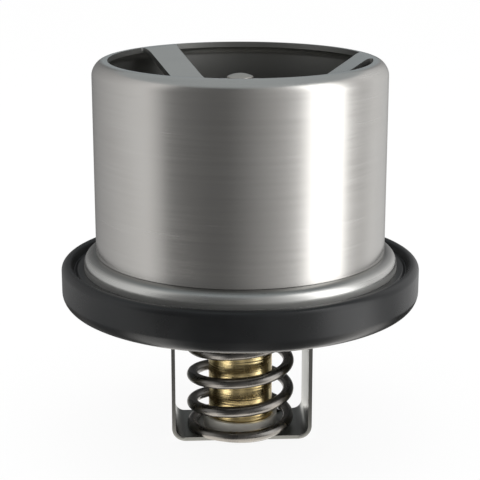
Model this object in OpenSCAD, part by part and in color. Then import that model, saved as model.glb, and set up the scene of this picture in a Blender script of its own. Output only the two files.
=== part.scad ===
// Sleeve-type thermostat of a heavy-duty engine, in millimetres, drawn cold, with the sleeve on its seat.
// The origin is the centre of the rubber rim, halfway up its straight outer wall. +Z points to the sleeve.
// When the wax swells, the piston lifts the sleeve and the stirrup, and the stirrup squeezes the spring.

/* [Sleeve] */
// Outside diameter of the sleeve
sleeve_d = 54; // [44:0.5:66]
// Height of the sleeve, from its lower edge to the top of its rim
sleeve_h = 35.7; // [29:0.1:44]
// Thickness of the sleeve's sheet
sleeve_t = 1; // [0.7:0.1:1.4]
// Outside radius of the rounded rim
rim_r = 2.7; // [2:0.1:4]
// Slope of the arms down to the hub, in degrees
arm_slope = 33.5; // [20:0.5:42]
// Width of each arm
arm_w = 7; // [5:0.5:10]
// Turn of the first arm from the stirrup's leg, in degrees
arm_turn = 8.2; // [-60:0.1:60]
// Width of the rim that is left outside the windows, seen from above
window_edge = 2.9; // [2:0.1:4]
// Radius of the windows' corners
window_corner_r = 2; // [0.6:0.1:2.5]
// Bend radius between the arms and the hub
hub_bend_r = 1; // [0.5:0.1:2]
// Width of the hub left outside the stirrup's slots
hub_edge = 1.4; // [1:0.1:2.5]
// Height of the hub's collar round the piston
hub_collar_h = 1.6; // [1:0.1:3]

/* [Flange] */
// Thickness of the flange's sheet
flange_t = 1.2; // [0.9:0.1:1.6]
// How far the seat stands out past the sleeve
seat_out = 2.3; // [1.8:0.1:3.5]
// How far the seat's bore lies inside the sleeve's inner wall
seat_in = 2.1; // [1.9:0.1:3.5]
// Height of the seat over the rim plate
seat_h = 6.1; // [5.5:0.1:9]
// Radius of the seat's outer edge
seat_edge_r = 2.2; // [1.3:0.1:2.3]
// Radius of the seat's inner edge
seat_lip_r = 1.6; // [1.3:0.1:1.9]
// Height of the lip that turns down inside the seat
seat_lip_h = 3.8; // [3:0.1:4.2]
// Height of the rim plate's top face over the origin
rim_plate_z = -0.9; // [-1.5:0.1:0]

/* [Seal] */
// Width of the rubber outside the seat's wall
seal_w = 4.2; // [3.6:0.1:6]
// Straight height of the outer wall
seal_wall_h = 4; // [3:0.1:5]
// Radius of the upper outer edge
seal_top_r = 1.2; // [1:0.1:2]
// Radius of the lower outer edge
seal_bottom_r = 2.7; // [2:0.1:4]
// Rubber outside the rim plate's edge
seal_cover = 1.5; // [1:0.1:2]
// Height of the small lip that hugs the seat's wall
seal_lip_z = 2.25; // [1.5:0.05:2.5]
// Width of each of the crown, the groove and the lip inside the upper edge's rounding
seal_crown_w = 0.6; // [0.5:0.05:0.7]
// Depth of the groove under the lip
seal_groove_h = 0.5; // [0.2:0.05:0.8]
// How far the rubber reaches in under the seat's wall
seal_under_in = 2.1; // [1:0.1:2.5]

/* [Bridge] */
// Thickness of the bridge's sheet
bridge_t = 1.2; // [1:0.1:1.6]
// Drop of the bridge's middle under the rim plate's top face
bridge_drop = 1.9; // [1.5:0.1:3]
// Radius at which the bridge starts to rise
bridge_flat_r = 15; // [13:0.5:18]
// Rise of the bridge's arms, in degrees
bridge_rise = 12; // [6:0.5:16]
// Space between the bridge's sides and the stirrup's legs
bridge_gap = 1.6; // [1:0.1:1.9]
// Space between the bridge's ends and the flange's wall
bridge_end_gap = 0.05; // [0.02:0.01:0.2]
// Space between the top of the bridge's ends and the seat
bridge_top_gap = 1; // [1:0.1:2]
// Radius of the bend at the foot of the bridge's arms, on the underside
bridge_foot_r = 3; // [1.5:0.1:4]
// Radius of the bend at the root of the bridge's upright ends, on the outside
bridge_root_r = 2.4; // [1.7:0.1:3]

/* [Wax element] */
// Outside diameter of the element cup
cup_d = 12.2; // [10:0.1:15]
// Wall of the element cup
cup_t = 0.8; // [0.6:0.1:1]
// Radius of the cup's closed end
cup_end_r = 1.2; // [1.1:0.1:2]
// Width of the crimped flange of the cup
crimp_w = 2.3; // [1.8:0.1:2.8]
// How far the crimp folds over the guide
crimp_fold = 1.8; // [1.2:0.1:2]
// Height of the cup's end over the stirrup's underside
cup_end_gap = 0.7; // [0.3:0.1:1.5]
// Diameter of the guide's tower
guide_d = 10; // [8:0.1:12]
// Height of the guide's tower over the crimp
guide_h = 12; // [8:0.5:16]
// Chamfer round the top of the guide
guide_chamfer = 0.6; // [0.2:0.1:0.8]
// Thickness of the guide's base
guide_base_h = 2.15; // [1.8:0.05:3]
// Wall of the rubber boot
boot_t = 1.6; // [1:0.1:1.8]
// Thickness of the boot's flange
boot_flange_h = 1; // [0.6:0.1:1.5]
// Wax left under the boot
wax_floor_h = 2.4; // [1:0.1:4]
// Thickness of the anti-chafe washer
washer_h = 1.2; // [0.6:0.1:1.5]

/* [Piston] */
// Diameter of the piston
piston_d = 4.8; // [3.5:0.1:5.2]
// Height of the piston's end over the hub's collar
piston_out = 1.55; // [0.6:0.05:3]
// Height of the piston's dome
dome_h = 0.6; // [0.2:0.1:1]

/* [Stirrup] */
// Thickness of the stirrup's strap
stirrup_t = 0.7; // [0.6:0.05:1]
// Width of the strap
strap_w = 14; // [10:0.5:16]
// Outside radius of the strap's two bends
strap_bend_r = 2.5; // [1.5:0.1:4]
// Space between the spring and each leg
leg_gap = 2.25; // [1.8:0.05:4]
// How far the pad under the spring reaches out past its collar
pad_out = 1.45; // [1:0.05:2]
// Height of the pad's collar over the strap's underside
pad_collar_h = 3.2; // [1.5:0.1:4]
// Width of the tabs that pass through the hub
tab_w = 6; // [4:0.5:8]
// Height of the clinched tab heads
clinch_h = 0.7; // [0.4:0.1:1.2]
// How far the clinched heads spread past the slots
clinch_w = 0.45; // [0.2:0.05:0.6]

/* [Spring] */
// Diameter of the wire
wire_d = 2.1; // [1.6:0.1:2.3]
// Space between the pad's collar and the coil
spring_gap = 1.15; // [0.6:0.05:2]
// Height of the fitted spring, valve shut
spring_h = 26; // [23:0.05:31]
// Turns that lie nearly closed at each end
closed_turns = 0.8; // [0.7:0.05:1.2]
// Open turns between the two ends
active_turns = 4.2; // [3:0.1:4.6]
// Thickness left at the ground tips
tip_h = 0.4; // [0.3:0.05:0.8]
// Direction of the lower tip, in degrees from the right leg
tip_angle = 33; // [0:1:360]

/* [Clearances] */
// Gap at the seat between sleeve and flange
seat_gap = 0.05; // [0.02:0.01:0.1]
// Radial gap of the piston in its guide
guide_fit = 0.05; // [0.02:0.01:0.1]
// Radial gap of the piston in the rubber boot and the washer
boot_fit = 0.1; // [0.05:0.01:0.3]
// Gap under the piston's tip
tip_fit = 0.2; // [0.1:0.05:0.5]
// Radial gap of the cup in the bridge and in the stirrup's pad
cup_fit = 0.25; // [0.2:0.01:0.35]
// Gap round the stirrup's tabs in the hub
tab_fit = 0.1; // [0.05:0.01:0.2]
// Gap between parts that are packed inside the element
fill_fit = 0.05; // [0.02:0.01:0.1]

/* [Hidden] */
$fn = 96;
arc_step = 9;
least_bend_r = 0.1;
cut = 1;
arm_count = 3;
dome_steps = 6;

// Wax element, stirrup and spring: each is built outwards from the one before it
piston_r = piston_d / 2;
cup_r = cup_d / 2;
crimp_r = cup_r + crimp_w;
pad_bore_r = cup_r + cup_fit;
pad_collar_r = pad_bore_r + stirrup_t;
spring_r = pad_collar_r + spring_gap + wire_d / 2;
pad_r = pad_collar_r + pad_out;
leg_x = spring_r + wire_d / 2 + leg_gap + stirrup_t;
bridge_w = 2 * (leg_x - stirrup_t - bridge_gap);

// Sleeve and flange
sleeve_r = sleeve_d / 2;
seat_r = sleeve_r + seat_out;
seat_bore_r = sleeve_r - sleeve_t - seat_in;
seat_z = rim_plate_z + seat_h;
sleeve_z = seat_z + seat_gap;
sleeve_top_z = sleeve_z + sleeve_h;
window_r = sleeve_r - window_edge;
hub_r = leg_x + hub_edge;
// The outer line of the wall and the line of the arms would meet here, if the rim weren't rounded
rim_corner_z = sleeve_top_z - rim_r + rim_r * (1 + sin(arm_slope)) / cos(arm_slope);
hub_z = rim_corner_z - (sleeve_r - hub_r) * tan(arm_slope);
hub_under_z = hub_z - sleeve_t;

// Seal
seal_r = seat_r + seal_w;
seal_top_z = seal_wall_h / 2 + seal_top_r;
seal_bottom_z = -seal_wall_h / 2 - seal_bottom_r;
rim_plate_r = seal_r - seal_cover;
// Small roundings of the rubber: its inner corners, the crown, the groove and the lip
seal_inner_r = 0.4;
seal_crown_r = 0.5;
seal_groove_r = 0.2;
seal_lip_r = 0.25;

// Bridge, stirrup and element along Z
bridge_top_z = rim_plate_z - bridge_drop;
bridge_under_z = bridge_top_z - bridge_t;
strap_top_z = bridge_under_z - spring_h;
strap_under_z = strap_top_z - stirrup_t;
cup_end_z = strap_under_z + cup_end_gap;
boot_flange_z = bridge_top_z + cup_t;
guide_z = boot_flange_z + boot_flange_h;
crimp_under_z = guide_z + guide_base_h;
crimp_top_z = crimp_under_z + cup_t;
boot_r = piston_r + boot_fit + boot_t;
boot_end_z = cup_end_z + cup_t + wax_floor_h;
piston_end_z = boot_end_z + boot_t + tip_fit;
piston_top_z = hub_z + hub_collar_h + piston_out;

// Plane geometry: paths are lists of [x, y] points
function unit(v) = v / norm(v);
function left_of(v) = [-v[1], v[0]];
function turned(v, a) = [v[0] * cos(a) - v[1] * sin(a), v[0] * sin(a) + v[1] * cos(a)];
function heading(path, i) = unit(path[i + 1] - path[i]);
function turn_at(path, i) =
    let (a = heading(path, i - 1), b = heading(path, i)) atan2(a[0] * b[1] - a[1] * b[0], a * b);

// The points of the arc that rounds corner i of a path
function arc_at(path, i, r) =
    let (
        a = heading(path, i - 1),
        turn = turn_at(path, i),
        start = path[i] - a * r * tan(abs(turn) / 2),
        centre = start + left_of(a) * r * sign(turn),
        n = ceil(abs(turn) / arc_step)
    )
    [for (k = [0 : n]) centre + turned(start - centre, turn * k / n)];

// A path with its inner corners rounded to the given radii. A radius of 0 leaves the corner sharp.
function rounded(path, radii) =
    [for (i = [0 : len(path) - 1])
        each (i == 0 || i == len(path) - 1 || radii[i - 1] == 0 ? [path[i]] :
            arc_at(path, i, radii[i - 1]))];

// A path moved to its left by a distance
function moved_left(path, d) =
    [for (i = [0 : len(path) - 1])
        let (
            a = left_of(heading(path, max(i - 1, 0))),
            b = left_of(heading(path, min(i, len(path) - 2)))
        )
        path[i] + d * (a + b) / (1 + a * b)];

function reversed(list) = [for (i = [len(list) - 1 : -1 : 0]) list[i]];

// The section of a bent sheet: the path is one face, and the sheet lies to its left
function sheet(path, radii, t) =
    concat(
        rounded(path, radii),
        reversed(rounded(
            moved_left(path, t),
            [for (i = [1 : len(path) - 2])
                max(radii[i - 1] - t * sign(turn_at(path, i)), least_bend_r)]
        ))
    );

module turned_sheet(path, radii, t) {
    rotate_extrude() polygon(sheet(path, radii, t));
}

module ring(outer_r, inner_r, z, h) {
    translate([0, 0, z]) difference() {
        cylinder(r = outer_r, h = h);
        translate([0, 0, -cut]) cylinder(r = inner_r, h = h + 2 * cut);
    }
}

// Places its children at both legs of the stirrup
module both_legs() {
    for (side = [-1, 1]) translate([side * (leg_x - stirrup_t / 2), 0, 0]) children();
}

// The metal left in one corner of a window. The rounding circle's centre is at centre_r from the axis,
// the arm's side is half an arm away from the arm's middle line, and edge_r is the window's edge.
module window_corner(centre_r, edge_r, side) {
    f = window_corner_r;
    out = sign(edge_r - centre_r);
    a = asin((arm_w / 2 + f) / centre_r);
    centre = centre_r * [cos(a), sin(a)];
    arm_side = arm_w / 2 - cut / 2;
    corner_x = sqrt(edge_r ^ 2 - (arm_w / 2) ^ 2) + out * cut;
    scale([1, side]) difference() {
        polygon([
            centre,
            [centre[0], arm_side],
            [corner_x, arm_side],
            (edge_r + out * cut) * [cos(a), sin(a)]
        ]);
        translate(centre) circle(r = f);
    }
}

// The three windows between the arms, seen from above
module windows() {
    difference() {
        circle(r = window_r);
        circle(r = hub_r);
        for (k = [0 : arm_count - 1]) rotate(arm_turn + k * 360 / arm_count) {
            translate([0, -arm_w / 2]) square([sleeve_r, arm_w]);
            for (side = [-1, 1]) {
                window_corner(window_r - window_corner_r, window_r, side);
                window_corner(hub_r + window_corner_r, hub_r, side);
            }
        }
    }
}

module sleeve() {
    color([0.72, 0.71, 0.69]) difference() {
        turned_sheet(
            [
                [sleeve_r, sleeve_z],
                [sleeve_r, rim_corner_z],
                [hub_r, hub_z],
                [piston_r + sleeve_t, hub_z],
                [piston_r + sleeve_t, hub_z + hub_collar_h]
            ],
            [rim_r, hub_bend_r, sleeve_t / 2],
            sleeve_t
        );
        translate([0, 0, hub_under_z - cut])
            linear_extrude(sleeve_top_z - hub_under_z + 2 * cut) windows();
        both_legs() translate([0, 0, hub_z - sleeve_t / 2])
            cube([stirrup_t + 2 * tab_fit, tab_w + 2 * tab_fit, sleeve_t + cut], center = true);
    }
}

module piston() {
    dome_r = (piston_r ^ 2 + dome_h ^ 2) / (2 * dome_h);
    dome_a = asin(piston_r / dome_r);
    color([0.63, 0.6, 0.57]) rotate_extrude() polygon(concat(
        [
            [0, piston_end_z],
            [piston_r - tip_fit, piston_end_z],
            [piston_r, piston_end_z + tip_fit]
        ],
        [for (k = [0 : dome_steps]) let (a = dome_a * (1 - k / dome_steps))
            [dome_r * sin(a), piston_top_z - dome_r + dome_r * cos(a)]]
    ));
}

module stirrup() {
    strap = sheet(
        [
            [-leg_x, hub_z + clinch_h],
            [-leg_x, strap_under_z],
            [leg_x, strap_under_z],
            [leg_x, hub_z + clinch_h]
        ],
        [strap_bend_r, strap_bend_r],
        stirrup_t
    );
    shoulder_w = (strap_w - tab_w) / 2;
    shoulder_cut_h = hub_z + clinch_h + cut - hub_under_z;
    color([0.5, 0.51, 0.5]) {
        difference() {
            rotate([90, 0, 0]) linear_extrude(strap_w, center = true) polygon(strap);
            translate([0, 0, strap_under_z - cut])
                cylinder(r = pad_collar_r, h = stirrup_t + 2 * cut);
            both_legs() for (side = [-1, 1])
                translate([0, side * (tab_w + shoulder_w + cut) / 2, hub_under_z + shoulder_cut_h / 2])
                    cube([2 * stirrup_t, shoulder_w + cut, shoulder_cut_h], center = true);
        }
        turned_sheet(
            [
                [pad_bore_r, strap_under_z + pad_collar_h],
                [pad_bore_r, strap_under_z],
                [pad_r, strap_under_z]
            ],
            [stirrup_t + least_bend_r],
            stirrup_t
        );
        both_legs() translate([0, 0, hub_z + clinch_h / 2]) cube(
            [stirrup_t + 2 * (tab_fit + clinch_w), tab_w + 2 * (tab_fit + clinch_w), clinch_h],
            center = true
        );
    }
}

function flange_section() = sheet(
    [
        [rim_plate_r, rim_plate_z],
        [seat_r, rim_plate_z],
        [seat_r, seat_z],
        [seat_bore_r, seat_z],
        [seat_bore_r, seat_z - seat_lip_h]
    ],
    [flange_t / 2, seat_edge_r, seat_lip_r],
    flange_t
);

module flange_plate() {
    color([0.76, 0.76, 0.74]) rotate_extrude() polygon(flange_section());
}

module flange_seal() {
    plate_under_z = rim_plate_z - flange_t;
    wall_mid_r = seat_r - flange_t / 2;
    under_r = seat_r - seal_under_in;
    crown_r = seal_r - seal_top_r;
    groove_z = seal_lip_z - seal_groove_h;
    color([0.13, 0.14, 0.14]) rotate_extrude() difference() {
        polygon(rounded(
            [
                [seat_r + flange_t, plate_under_z],
                [under_r, plate_under_z],
                [under_r, seal_bottom_z],
                [seal_r, seal_bottom_z],
                [seal_r, seal_top_z],
                [crown_r - seal_crown_w, seal_top_z],
                [crown_r - 2 * seal_crown_w, groove_z],
                [crown_r - 3 * seal_crown_w, seal_lip_z],
                [wall_mid_r, seal_lip_z],
                [wall_mid_r, rim_plate_z],
                [seat_r + flange_t, rim_plate_z - flange_t / 2]
            ],
            [seal_inner_r, seal_inner_r, seal_bottom_r, seal_top_r, seal_crown_r, seal_groove_r, seal_lip_r,
                0, 0]
        ));
        polygon(flange_section());
    }
}

module bridge() {
    end_r = seat_r - flange_t - bridge_end_gap;
    color([0.6, 0.6, 0.58]) intersection() {
        turned_sheet(
            [
                [cup_r + cup_fit, bridge_under_z],
                [bridge_flat_r, bridge_under_z],
                [end_r, bridge_under_z + (end_r - bridge_flat_r) * tan(bridge_rise)],
                [end_r, seat_z - flange_t - bridge_top_gap]
            ],
            [bridge_foot_r, bridge_root_r],
            bridge_t
        );
        cube([bridge_w, 4 * end_r, 4 * end_r], center = true);
    }
}

module element_cup() {
    color([0.72, 0.6, 0.3]) turned_sheet(
        [
            [0, cup_end_z],
            [cup_r, cup_end_z],
            [cup_r, bridge_top_z],
            [crimp_r, bridge_top_z],
            [crimp_r, crimp_top_z],
            [crimp_r - crimp_fold, crimp_top_z]
        ],
        [cup_end_r, cup_fit / 2, cup_t + least_bend_r, cup_t + least_bend_r],
        cup_t
    );
}

module element_guide() {
    base_r = crimp_r - cup_t - fill_fit;
    top_z = crimp_top_z + guide_h;
    color([0.74, 0.62, 0.34]) rotate_extrude() polygon([
        [boot_r + fill_fit, guide_z],
        [base_r, guide_z],
        [base_r, crimp_under_z - fill_fit],
        [guide_d / 2, crimp_under_z - fill_fit],
        [guide_d / 2, top_z - guide_chamfer],
        [guide_d / 2 - guide_chamfer, top_z],
        [piston_r + guide_fit + guide_chamfer / 2, top_z],
        [piston_r + guide_fit, top_z - guide_chamfer / 2],
        [piston_r + guide_fit, guide_z + washer_h],
        [boot_r + fill_fit, guide_z + washer_h]
    ]);
}

module rubber_boot() {
    flange_r = crimp_r - cup_t - fill_fit;
    bore_r = piston_r + boot_fit;
    color([0.16, 0.15, 0.15]) difference() {
        rotate_extrude() polygon(rounded(
            [
                [0, boot_end_z],
                [boot_r, boot_end_z],
                [boot_r, boot_flange_z],
                [flange_r, boot_flange_z],
                [flange_r, guide_z],
                [0, guide_z]
            ],
            [boot_t, least_bend_r, least_bend_r, least_bend_r]
        ));
        translate([0, 0, boot_end_z + boot_t]) cylinder(r = bore_r, h = guide_z - boot_end_z);
    }
}

module wax_charge() {
    wax_r = cup_r - cup_t - fill_fit;
    floor_z = cup_end_z + cup_t + fill_fit;
    color([0.85, 0.8, 0.62]) rotate_extrude() polygon(rounded(
        [
            [0, floor_z],
            [wax_r, floor_z],
            [wax_r, boot_flange_z - fill_fit],
            [boot_r + fill_fit, boot_flange_z - fill_fit],
            [boot_r + fill_fit, boot_end_z - fill_fit],
            [0, boot_end_z - fill_fit]
        ],
        [cup_t / 2, least_bend_r, least_bend_r, boot_t]
    ));
}

module anti_chafe_washer() {
    color([0.92, 0.92, 0.9])
        ring(boot_r, piston_r + boot_fit, guide_z + fill_fit, washer_h - 2 * fill_fit);
}

// Spring: the height of the wire's middle line after n turns from the lower tip. The pitch eases from
// that of the closed end to that of the open coil over ease_turns, and back at the top.
closed_pitch = wire_d + 0.1;
total_turns = active_turns + 2 * closed_turns;
first_z = strap_top_z + tip_h - wire_d / 2;
last_z = bridge_under_z - tip_h + wire_d / 2;
pitch = (last_z - first_z - 2 * closed_turns * closed_pitch) / active_turns;
ease_turns = 0.3;
rings_per_turn = 24;
wire_sides = 10;

function eased(n) =
    n <= -ease_turns / 2 ? 0 :
    n >= ease_turns / 2 ? n :
    (n + ease_turns / 2) ^ 2 / (2 * ease_turns);

function coil_z(n) =
    first_z + closed_pitch * n
    + (pitch - closed_pitch) * (eased(n - closed_turns) - eased(n - closed_turns - active_turns));

// The angles of the points round the wire at height z. Where the wire would pass through a ground face,
// they stop at that face, and the first and last of them span the flat. The first point creeps from the
// wire's underside at the lower end to its top side at the upper end.
function wire_angles(z, share) =
    let (
        r = wire_d / 2,
        low = (strap_top_z - z) / r,
        high = (bridge_under_z - z) / r
    )
    low > -1 ? [for (i = [0 : wire_sides - 1]) asin(low) + (180 - 2 * asin(low)) * i / (wire_sides - 1)] :
    high < 1 ? [for (i = [0 : wire_sides - 1])
        180 - asin(high) + (180 + 2 * asin(high)) * i / (wire_sides - 1)] :
    [for (i = [0 : wire_sides - 1]) -90 + 180 * share + 360 * i / wire_sides];

module return_spring() {
    rings = round(total_turns * rings_per_turn);
    points = [for (k = [0 : rings])
        let (n = total_turns * k / rings, z = coil_z(n), turn = tip_angle + 360 * n)
        for (a = wire_angles(z, k / rings))
            let (r = spring_r + wire_d / 2 * cos(a))
            [r * cos(turn), r * sin(turn), z + wire_d / 2 * sin(a)]];
    faces = concat(
        [[for (i = [0 : wire_sides - 1]) i]],
        [for (k = [0 : rings - 1], i = [0 : wire_sides - 1])
            let (j = (i + 1) % wire_sides, a = k * wire_sides, b = a + wire_sides)
            each [[a + i, b + i, a + j], [a + j, b + i, b + j]]],
        [[for (i = [wire_sides - 1 : -1 : 0]) rings * wire_sides + i]]
    );
    color([0.2, 0.19, 0.17]) polyhedron(points, faces);
}

sleeve();
piston();
stirrup();
flange_plate();
flange_seal();
bridge();
element_cup();
element_guide();
rubber_boot();
wax_charge();
anti_chafe_washer();
return_spring();
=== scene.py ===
# %% [markdown]
# # A sleeve thermostat, piece by piece
# This lesson dresses an engine thermostat for a studio picture. The construction is already fixed: a
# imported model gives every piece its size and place, and that model is the frame which is loaded first.
# Here each piece that shows is modelled again with soft edges and a smooth skin, gets its metal, brass or
# rubber, and is then tied to the body that it moves with. Lengths are in metres, so `MM` turns the
# millimetres of a drawing into them.

# %% Load the frame
import math
import bmesh
import bpy
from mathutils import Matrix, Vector


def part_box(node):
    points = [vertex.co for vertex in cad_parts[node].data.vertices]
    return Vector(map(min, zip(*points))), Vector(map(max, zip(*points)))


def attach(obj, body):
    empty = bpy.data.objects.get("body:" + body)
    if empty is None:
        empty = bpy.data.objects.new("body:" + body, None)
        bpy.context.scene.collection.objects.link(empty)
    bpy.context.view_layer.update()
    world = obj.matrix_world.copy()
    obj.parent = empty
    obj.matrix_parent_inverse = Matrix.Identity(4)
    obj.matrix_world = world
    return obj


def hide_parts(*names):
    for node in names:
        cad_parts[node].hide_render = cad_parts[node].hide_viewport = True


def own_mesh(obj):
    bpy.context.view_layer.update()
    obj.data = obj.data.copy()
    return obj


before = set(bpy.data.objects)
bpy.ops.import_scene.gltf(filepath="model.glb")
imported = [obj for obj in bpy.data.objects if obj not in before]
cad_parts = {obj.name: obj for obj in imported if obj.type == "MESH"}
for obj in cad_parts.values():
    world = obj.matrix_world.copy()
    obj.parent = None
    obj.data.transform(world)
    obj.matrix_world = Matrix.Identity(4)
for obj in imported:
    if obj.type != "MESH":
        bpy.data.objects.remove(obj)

MM = 0.001
bpy.context.view_layer.update()

# %% [markdown]
# ## The camera
# The picture is taken from a little above the rim, with a long lens, so that the sides of the sleeve stay
# almost parallel. The camera stands on a circle round the upright axis, three degrees to the left of the
# front, and looks down by about fifteen degrees. A short shift centres the frame, and depth of field
# stays off.

# %% Camera
CAMERA_TURN = math.radians(-2.9)
CAMERA_DISTANCE = 258.7 * MM
CAMERA_HEIGHT = 76.4 * MM
CAMERA_PITCH = math.radians(15.07)
CAMERA_LENS = 106.9
CAMERA_SHIFT = -0.0005
CAMERA_NEAR = 10 * MM

camera = bpy.data.objects.new("camera", bpy.data.cameras.new("camera"))
bpy.context.scene.collection.objects.link(camera)
camera.data.lens = CAMERA_LENS
camera.data.shift_x = CAMERA_SHIFT
camera.data.clip_start = CAMERA_NEAR
camera.location = (
    CAMERA_DISTANCE * math.sin(CAMERA_TURN),
    -CAMERA_DISTANCE * math.cos(CAMERA_TURN),
    CAMERA_HEIGHT,
)
camera.rotation_euler = (math.pi / 2 - CAMERA_PITCH, 0, CAMERA_TURN)
bpy.context.scene.camera = camera
print("camera at", [round(v / MM, 1) for v in camera.location], "mm")

# %% [markdown]
# ## Helpers for modelling by hand
# An operator acts on whatever is selected. So each piece starts from an empty selection, and the points or
# edges that an operator should work on are picked by where they lie. A ring is picked by its distance from
# the upright axis and its height.

# %% Selecting
TINY = 0.002 * MM


def start_piece():
    if bpy.context.mode != "OBJECT":
        bpy.ops.object.mode_set(mode="OBJECT")
    bpy.ops.object.select_all(action="DESELECT")


def pick(kind, test):
    """Selects the vertices or the edges of the open mesh that pass a test."""
    bpy.ops.mesh.select_mode(type=kind)
    bpy.ops.mesh.select_all(action="DESELECT")
    mesh = bmesh.from_edit_mesh(bpy.context.object.data)
    for item in {"VERT": mesh.verts, "EDGE": mesh.edges}[kind]:
        if test(item):
            item.select_set(True)
    mesh.select_flush_mode()
    bmesh.update_edit_mesh(bpy.context.object.data)


def on_ring(vertex, radius, height):
    here = vertex.co
    return abs(here.xy.length - radius) < TINY and abs(here.z - height) < TINY


def pick_ring(radius, height):
    pick("EDGE", lambda edge: all(on_ring(v, radius, height) for v in edge.verts))


def apply_modifier(kind, **settings):
    """Adds a modifier to the active piece, sets it and applies it."""
    piece = bpy.context.object
    modifier = piece.modifiers.new(kind.lower(), kind)
    for name, value in settings.items():
        setattr(modifier, name, value)
    bpy.ops.object.modifier_apply(modifier=modifier.name)


def open_edges(piece):
    """How many edges don't have exactly two faces: 0 on a closed piece."""
    mesh = bmesh.new()
    mesh.from_mesh(piece.data)
    count = sum(len(edge.link_faces) != 2 for edge in mesh.edges)
    mesh.free()
    return count


print("helpers ready")

# %% [markdown]
# ## Turned sheets
# The sleeve, the flange and the brass cup are drawn from flat sheet, and anything drawn or turned is a
# line that goes once round an axis. It could be a curve with the screw modifier. Here it starts as a
# circle: the ring is extruded and scaled from point to point of the line, the way a potter raises a wall,
# and each fold is then bevelled to its bend radius. A solidify modifier gives the sheet its thickness. A
# ring has flat sides, and the middle of a side lies a little inside the circle through its corners, which
# `CHORD_SAG` allows for.

# %% Turning
SIDES = 192
BEND_STEP = math.radians(9)
LEAST_BEND_STEPS = 3
CHORD_SAG = 0.01 * MM


def heading(path, i):
    return math.atan2(path[i + 1][1] - path[i][1], path[i + 1][0] - path[i][0])


def fold_angle(path, i):
    """How far the path turns at point i, positive to the left."""
    turn = heading(path, i) - heading(path, i - 1)
    return (turn + math.pi) % (2 * math.pi) - math.pi


def raise_ring(path, sides):
    """A skin that follows the path once round the upright axis. The path is a list of (radius, height)."""
    start_piece()
    first = 1 if path[0][0] < TINY else 0
    radius, height = path[first]
    bpy.ops.mesh.primitive_circle_add(
        vertices=sides, radius=radius, location=(0, 0, height), enter_editmode=True,
        fill_type="TRIFAN" if first else "NOTHING")
    pick("EDGE", lambda edge: len(edge.link_faces) < 2)
    for next_radius, next_height in path[first + 1:]:
        bpy.ops.mesh.extrude_region_move(TRANSFORM_OT_translate={"value": (0, 0, next_height - height)})
        if next_radius < TINY:
            bpy.ops.mesh.merge(type="CENTER")
            break
        grow = next_radius / radius
        bpy.ops.transform.resize(value=(grow, grow, 1), center_override=(0, 0, next_height))
        radius, height = next_radius, next_height
    bpy.ops.object.mode_set(mode="OBJECT")
    bpy.ops.object.transform_apply(location=True, rotation=True, scale=True)
    bpy.ops.object.mode_set(mode="EDIT")
    bpy.ops.mesh.select_all(action="SELECT")
    bpy.ops.mesh.remove_doubles(threshold=TINY)
    bpy.ops.mesh.normals_make_consistent(inside=False)


def face_right_of(path):
    """Turns the skin so that its normals point to the right of the path."""
    (r0, z0), (r1, z1) = path[-2], path[-1]
    right = Vector((z1 - z0, r0 - r1))
    mesh = bmesh.from_edit_mesh(bpy.context.object.data)
    low, high = sorted((z0, z1))
    inner, outer = sorted((r0, r1))
    for face in mesh.faces:
        centre = face.calc_center_median()
        radius = centre.xy.length
        if low - TINY < centre.z < high + TINY and inner - CHORD_SAG < radius < outer + TINY:
            out = Vector((face.normal.xy.dot(centre.xy) / radius, face.normal.z))
            if out.dot(right) < 0:
                bpy.ops.mesh.select_all(action="SELECT")
                bpy.ops.mesh.flip_normals()
            return


def round_folds(path, bends):
    """Bevels each fold of the skin to its bend radius. A bend of 0 leaves the fold sharp."""
    for i, bend in enumerate(bends, start=1):
        if bend > 0:
            fold = abs(fold_angle(path, i))
            pick_ring(*path[i])
            bpy.ops.mesh.bevel(
                offset=bend * math.tan(fold / 2), offset_type="OFFSET", affect="EDGES",
                segments=max(LEAST_BEND_STEPS, math.ceil(fold / BEND_STEP)), profile=0.5,
                clamp_overlap=False)


def turned_sheet(path, bends, thickness, sides=SIDES):
    """A turned sheet whose outer face follows the path, with the metal to the left of it."""
    raise_ring(path, sides)
    face_right_of(path)
    round_folds(path, bends)
    bpy.ops.object.mode_set(mode="OBJECT")
    apply_modifier("SOLIDIFY", thickness=thickness, offset=-1, use_even_offset=True)
    return bpy.context.object


def turned_solid(path, bends, sides=SIDES):
    """A closed turned body. The path goes round its section and ends where it began, or on the axis."""
    raise_ring(path, sides)
    round_folds(path, bends)
    bpy.ops.mesh.select_all(action="SELECT")
    bpy.ops.mesh.remove_doubles(threshold=TINY)
    bpy.ops.mesh.normals_make_consistent(inside=False)
    bpy.ops.object.mode_set(mode="OBJECT")
    return bpy.context.object


print("turning with", SIDES, "sides")

# %% [markdown]
# ## Metals
# Sheet steel that was brushed in a lathe has fine lines all round it. They could be an anisotropic shader,
# but real lines also show when the piece is seen from close by, so they are made with noise that is
# stretched: slow across X and Y and very quick along Z. The same noise drives the colour a little, the
# roughness and a bump. Object coordinates keep the lines where they are when the piece moves.

# %% Node helpers
NOISE_ROUGHNESS = 0.55


def new_material(name, colour):
    """A fresh material with a Principled shader, and that shader's node."""
    material = bpy.data.materials.new(name)
    material["slot"] = name
    material.use_nodes = True
    material.diffuse_color = (*colour, 1)
    return material, material.node_tree.nodes["Principled BSDF"]


def add(tree, kind, **settings):
    """Adds a node. A setting names an attribute of the node, or an input socket when it isn't one."""
    node = tree.nodes.new("ShaderNode" + kind)
    for name, value in settings.items():
        if hasattr(node, name):
            setattr(node, name, value)
        else:
            node.inputs[name.replace("_", " ").title()].default_value = value
    return node


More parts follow.
